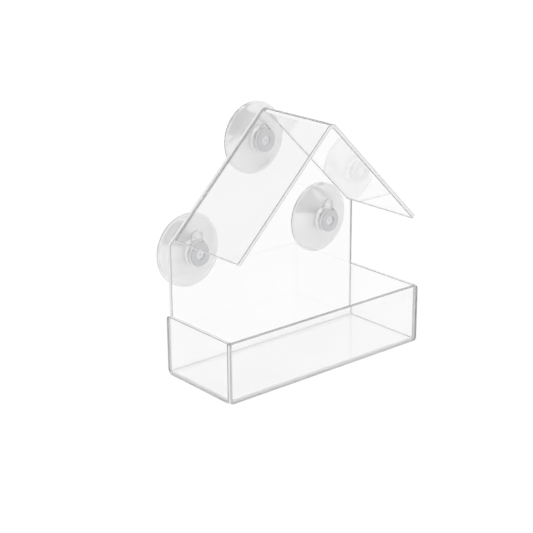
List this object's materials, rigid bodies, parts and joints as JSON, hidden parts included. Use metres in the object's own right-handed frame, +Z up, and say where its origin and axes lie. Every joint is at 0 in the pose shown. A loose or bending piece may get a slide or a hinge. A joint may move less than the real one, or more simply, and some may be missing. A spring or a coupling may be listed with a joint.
{
  "type": "window bird feeder",
  "caption": "Clear acrylic window bird feeder: a house-shaped back with a gabled roof over an open seed tray, hung on a pane by suction cups that slide in keyhole slots.",
  "frame": {"origin": "middle of the tray's footprint, on the underside of the floor", "axes": "+X right as seen from in front of the feeder, +Y towards the window pane, +Z up"},
  "size_m": [0.15, 0.07, 0.153],
  "materials": {
    "clear_acrylic": "clear cast or extruded acrylic sheet, polished faces and edges",
    "clear_soft_pvc": "clear plasticised PVC, glossy"
  },
  "bodies": {
    "house": {"back_and_floor": "clear_acrylic", "front_panel": "clear_acrylic", "left_side_panel": "clear_acrylic", "right_side_panel": "clear_acrylic", "roof": "clear_acrylic"},
    "top_cup": {"suction_cup_top": "clear_soft_pvc"},
    "left_cup": {"suction_cup_left": "clear_soft_pvc"},
    "right_cup": {"suction_cup_right": "clear_soft_pvc"}
  },
  "joints": [
    {"name": "top_cup_slide", "type": "slide", "parent": "house", "child": "top_cup", "axis": [0, 0, 1], "range_m": [0, 0.0055]},
    {"name": "left_cup_slide", "type": "slide", "parent": "house", "child": "left_cup", "axis": [0, 0, 1], "range_m": [0, 0.0095]},
    {"name": "right_cup_slide", "type": "slide", "parent": "house", "child": "right_cup", "axis": [0, 0, 1], "range_m": [0, 0.0095]}
  ]
}
